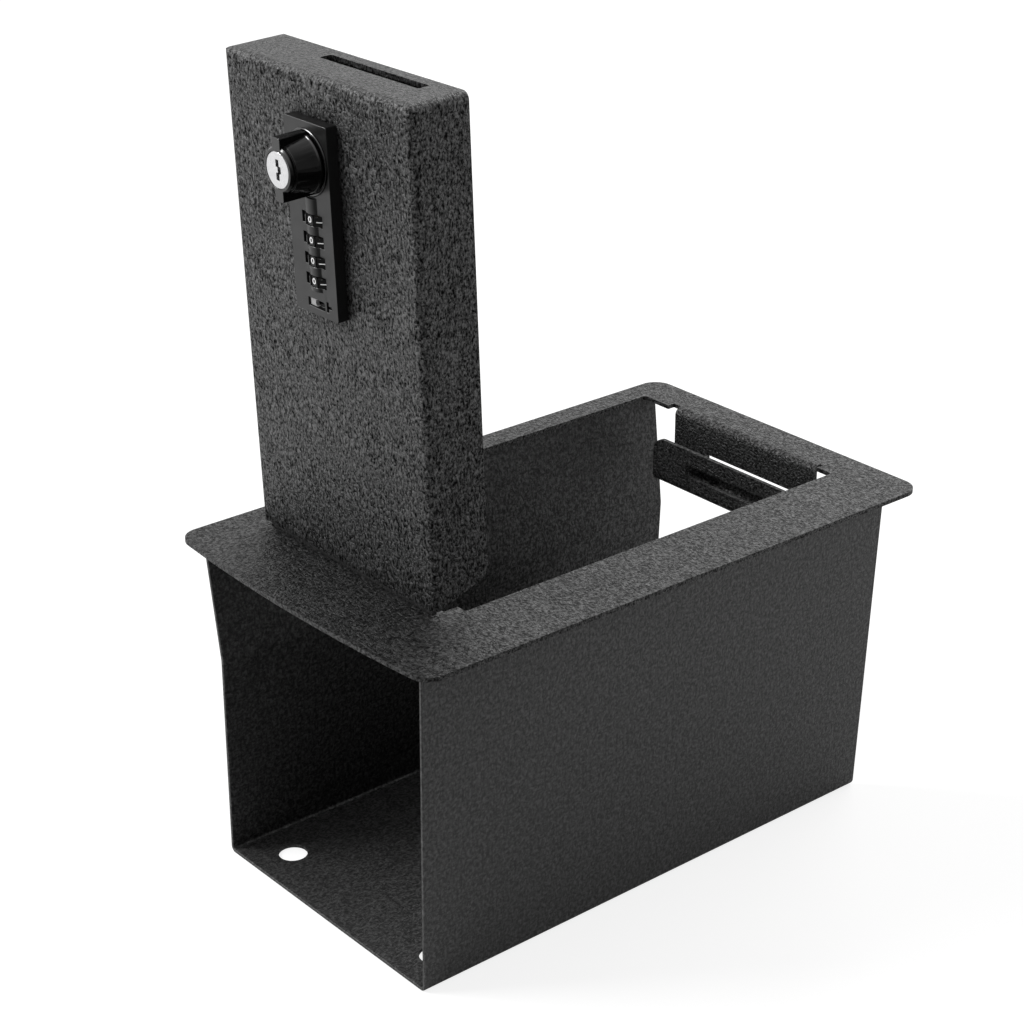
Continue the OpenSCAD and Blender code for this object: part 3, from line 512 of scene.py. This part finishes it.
def start_tree(name, **sizes):
    """A tree with one named input for each size; returns it with its inputs' node."""
    tree = bpy.data.node_groups.new(name, "GeometryNodeTree")
    tree.interface.new_socket("Geometry", in_out="OUTPUT", socket_type="NodeSocketGeometry")
    for key, value in sizes.items():
        kind = SOCKET_KINDS.get(type(value), "NodeSocketMaterial")
        tree.interface.new_socket(key, in_out="INPUT", socket_type=kind)
    return tree, tree.nodes.new("NodeGroupInput")


def end_tree(tree, shape, material_socket):
    """Realizes the instances, sets the material and closes the tree."""
    real = add(tree, "GeometryNodeRealizeInstances")
    finish = add(tree, "GeometryNodeSetMaterial")
    join(tree, shape, real.inputs[0])
    join(tree, real, finish.inputs["Geometry"])
    join(tree, material_socket, finish.inputs["Material"])
    join(tree, finish, tree.nodes.new("NodeGroupOutput").inputs[0])


def grow(name, tree, place, **values):
    """Runs a tree and returns its result as a plain mesh, moved to place."""
    holder = bpy.data.objects.new(name, bpy.data.meshes.new(name))
    scene.collection.objects.link(holder)
    modifier = holder.modifiers.new("grow", "NODES")
    modifier.node_group = tree
    for item in tree.interface.items_tree:
        if item.in_out == "INPUT":
            modifier[item.identifier] = values[item.name]
    graph = bpy.context.evaluated_depsgraph_get()
    mesh = bpy.data.meshes.new_from_object(holder.evaluated_get(graph), depsgraph=graph)
    bpy.data.objects.remove(holder)
    mesh.transform(place)
    return mesh


print("inputs may be:", ", ".join(kind.__name__ for kind in SOCKET_KINDS), "or a material")

# %% [markdown]
# Each dial carries the digits 0 to 9, one on each of its ten flats, printed in
# white paint. The flats follow a rule, so a tree makes the ten digits as filled
# text, thickens each to a film of paint with a bead round its edge, stands it on
# its flat, a third wider than high, and turns it round the dial by a tenth of a
# turn.

# %% Digits of the dials
TENTH = math.radians(36)
DIAL_R = 8.0 * MM
WIDER = 1.35
BEAD_SIDES = 6
DIGITS = {"flat": DIAL_R * math.cos(TENTH / 2), "height": 4.1 * MM, "paint": 0.05 * MM,
          "stroke": 0.07 * MM, "finish": white_paint}


def printed_digit(tree, sizes, bead, digit):
    """One digit as a film of paint with a bead of paint round its edge."""
    text = add(tree, "GeometryNodeStringToCurves", {"String": str(digit)},
               align_x="CENTER", align_y="MIDDLE")
    join(tree, sizes.outputs["height"], text.inputs["Size"])
    flat = add(tree, "GeometryNodeFillCurve")
    join(tree, text, flat.inputs["Curve"])
    solid = add(tree, "GeometryNodeExtrudeMesh", {"Individual": False})
    join(tree, flat, solid.inputs["Mesh"])
    join(tree, sizes.outputs["paint"], solid.inputs["Offset Scale"])
    back = add(tree, "GeometryNodeFlipFaces")
    join(tree, flat, back.inputs[0])
    rim = add(tree, "GeometryNodeCurveToMesh")
    join(tree, text, rim.inputs["Curve"])
    join(tree, bead, rim.inputs["Profile Curve"])
    both = add(tree, "GeometryNodeJoinGeometry")
    for part in (rim, back, solid):
        join(tree, part, both.inputs[0])
    return both


def digits_tree():
    """The ten digits round a dial, each stood on its flat and turned to its place."""
    tree, sizes = start_tree("dial digits", **DIGITS)
    ring = add(tree, "GeometryNodeJoinGeometry")
    bead = add(tree, "GeometryNodeCurvePrimitiveCircle", {"Resolution": BEAD_SIDES})
    join(tree, sizes.outputs["stroke"], bead.inputs["Radius"])
    for digit in range(10):
        lift = add(tree, "ShaderNodeCombineXYZ")
        join(tree, sizes.outputs["flat"], lift.inputs["Z"])
        stand = add(tree, "GeometryNodeTransform", {"Scale": (WIDER, 1, 1)})
        join(tree, printed_digit(tree, sizes, bead, digit), stand.inputs["Geometry"])
        join(tree, lift, stand.inputs["Translation"])
        spin = add(tree, "GeometryNodeTransform", {"Rotation": (0, -digit * TENTH, 0)})
        join(tree, stand, spin.inputs["Geometry"])
        join(tree, spin, ring.inputs[0])
    end_tree(tree, ring, sizes.outputs["finish"])
    return tree


def joint_place(name):
    """Where a dial's axis stands: X across the safe, Y along the axis, Z out of the lid."""
    joint = next(j for j in frame["joints"] if j["name"] == name)
    across, along = Vector((1, 0, 0)), Vector(joint["axis"])
    out = across.cross(along)
    turned = Matrix((across, along, out)).transposed().to_4x4()
    return Matrix.Translation(Vector(joint["pos_m"])) @ turned


digits = digits_tree()
for number in range(1, DIALS + 1):
    name = "dial_%d_digits" % number
    place = joint_place("dial_%d_turn" % number)
    mesh = grow(name, digits, place, **DIGITS)
    put(name, mesh, "dial_wheel_%d" % number, "dial_black", white_paint)
print("digits:", len(mesh.polygons), "faces a dial")

# %% [markdown]
# Beside each dial a sloping pointer carries a white line, which marks where the code is read. Under each line a
# near-black matt film covers the pointer and keeps the notch beside the dial dark. Four bars in a row at an even
# pitch are one instanced box, so one small tree prints both: the fields first, then the lines.

# %% Index lines
LEAN = Matrix.Rotation(TENTH, 4, "Y")
FIELD = {"length": 4.0 * MM, "width": 4.4 * MM, "paint": 0.04 * MM}
LINE = {"length": 3.4 * MM, "width": 0.46 * MM, "paint": 0.08 * MM}
FIELD_AT = Vector((1.1, 0, 9.41)) * MM
LINE_AT = Vector((1.4, 0, 9.43)) * MM


def bars_tree():
    """A row of equal bars at an even pitch."""
    tree, sizes = start_tree("bars", count=DIALS, pitch=1.0, finish=white_paint, **LINE)
    row = add(tree, "GeometryNodeMeshLine", mode="OFFSET")
    step, size = add(tree, "ShaderNodeCombineXYZ"), add(tree, "ShaderNodeCombineXYZ")
    join(tree, sizes.outputs["pitch"], step.inputs["Y"])
    for axis, key in (("X", "length"), ("Y", "width"), ("Z", "paint")):
        join(tree, sizes.outputs[key], size.inputs[axis])
    join(tree, sizes.outputs["count"], row.inputs["Count"])
    join(tree, step, row.inputs["Offset"])
    bar = add(tree, "GeometryNodeMeshCube")
    join(tree, size, bar.inputs["Size"])
    bars = add(tree, "GeometryNodeInstanceOnPoints")
    join(tree, row, bars.inputs["Points"])
    join(tree, bar, bars.inputs["Instance"])
    end_tree(tree, bars, sizes.outputs["finish"])
    return tree


first, last = joint_place("dial_4_turn"), joint_place("dial_1_turn")
pitch = (last.translation - first.translation).length / (DIALS - 1)
bars = bars_tree()
for name, size, at, paint in (("index_fields", FIELD, FIELD_AT, field_black),
                              ("index_lines", LINE, LINE_AT, white_paint)):
    mesh = grow(name, bars, first @ LEAN @ Matrix.Translation(at),
                count=DIALS, pitch=pitch, finish=paint, **size)
    put(name, mesh, "lid", "lock_black", paint)
print("index lines: pitch mm", round(pitch / MM, 2))

# %% [markdown]
# The floor is a wide pale disc. The camera sees it almost white, through Light
# Path's Is Camera Ray, but it still carries the safe's shadow. A plain white floor
# could do, but it would throw more light up at the safe than the photographer's.

# %% Floor
FLOOR_R = 6.0
FLOOR_GLOW = 1.3
FLOOR_SEEN = 0.62


def make_floor():
    shape = bmesh.new()
    bmesh.ops.create_circle(shape, cap_ends=True, segments=64, radius=FLOOR_R)
    mesh = bpy.data.meshes.new("floor")
    shape.to_mesh(mesh)
    shape.free()
    floor = bpy.data.objects.new("floor", mesh)
    scene.collection.objects.link(floor)
    material, tree, shader = start_material("studio floor", grey(0.85), roughness=0.9)
    rays = add(tree, "ShaderNodeLightPath").outputs
    seen = combine(tree, "MAXIMUM", rays["Is Camera Ray"], rays["Is Transmission Ray"])
    glow = add(tree, "ShaderNodeEmission", {"Color": grey(1), "Strength": FLOOR_GLOW})
    blend = add(tree, "ShaderNodeMixShader")
    join(tree, times(tree, seen, FLOOR_SEEN), blend.inputs["Fac"])
    join(tree, shader, blend.inputs[1])
    join(tree, glow, blend.inputs[2])
    join(tree, blend, tree.nodes["Material Output"].inputs["Surface"])
    mesh.materials.append(material)


make_floor()
print("floor: radius m", FLOOR_R)

# %% [markdown]
# Studios hang black cards beside dark, shiny goods, so that their edges read. Here
# one lies in front of the safe. Only reflections see it, not the lens and not the
# floor: the bends that face the lens reflect it, and its dark line parts the lid's
# front from its side.

# %% Black card
CARD_AT = (0, -0.72, 0.002)
CARD_SIZE = (1.2, 0.9)


def make_card(at, size):
    """A black card lying in front of the safe, which only reflections see."""
    shape = bmesh.new()
    bmesh.ops.create_grid(shape, x_segments=1, y_segments=1, size=0.5)
    mesh = bpy.data.meshes.new("card")
    shape.to_mesh(mesh)
    shape.free()
    card = bpy.data.objects.new("card", mesh)
    facing_lens = Matrix.Rotation(math.radians(CAMERA_SWING), 4, "Z")
    card.matrix_world = facing_lens @ Matrix.Translation(at)
    card.scale = (*size, 1)
    scene.collection.objects.link(card)
    black = start_material("black card", grey(0.005), roughness=0.9, Specular_IOR_Level=0.1)[0]
    mesh.materials.append(black)
    card.visible_camera = False
    card.visible_diffuse = False
    card.visible_shadow = False


make_card(CARD_AT, CARD_SIZE)
print("card: metres", CARD_SIZE)

# %% [markdown]
# The light is plain: an even pale world, which the lens and reflections see white,
# a soft key lamp from the left and a wide one behind. Soft light keeps the wrinkles
# readable without hard shadows.

# %% World and lamps
WORLD_LEVEL = 0.38
MIDDLE = (0, 0, 0.2)
LAMPS = {
    "key": {"at": (-1.2, -1.4, 1.7), "size": (0.9, 0.9), "watts": 44},
    "back": {"at": (-0.6, 1.8, 1.5), "size": (1.6, 1.0), "watts": 20},
}


def make_world(level):
    world = bpy.data.worlds.new("studio")
    scene.world = world
    world.use_nodes = True
    tree = world.node_tree
    rays = add(tree, "ShaderNodeLightPath").outputs
    seen = combine(tree, "MAXIMUM", rays["Is Camera Ray"], rays["Is Glossy Ray"])
    background = tree.nodes["Background"]
    background.inputs["Color"].default_value = grey(1)
    join(tree, remap(tree, seen, 0.0, 1.0, level, 1.0), background.inputs["Strength"])


def lamp(name, at, size, watts):
    """A soft lamp that looks at the middle of the safe."""
    data = bpy.data.lights.new(name, "AREA")
    data.shape = "RECTANGLE"
    data.size, data.size_y = size
    data.energy = watts
    light = bpy.data.objects.new(name, data)
    light.location = at
    light.rotation_euler = (Vector(MIDDLE) - Vector(at)).to_track_quat("-Z", "Y").to_euler()
    scene.collection.objects.link(light)


make_world(WORLD_LEVEL)
for name, values in LAMPS.items():
    lamp(name, **values)
print("lamps:", ", ".join(LAMPS))
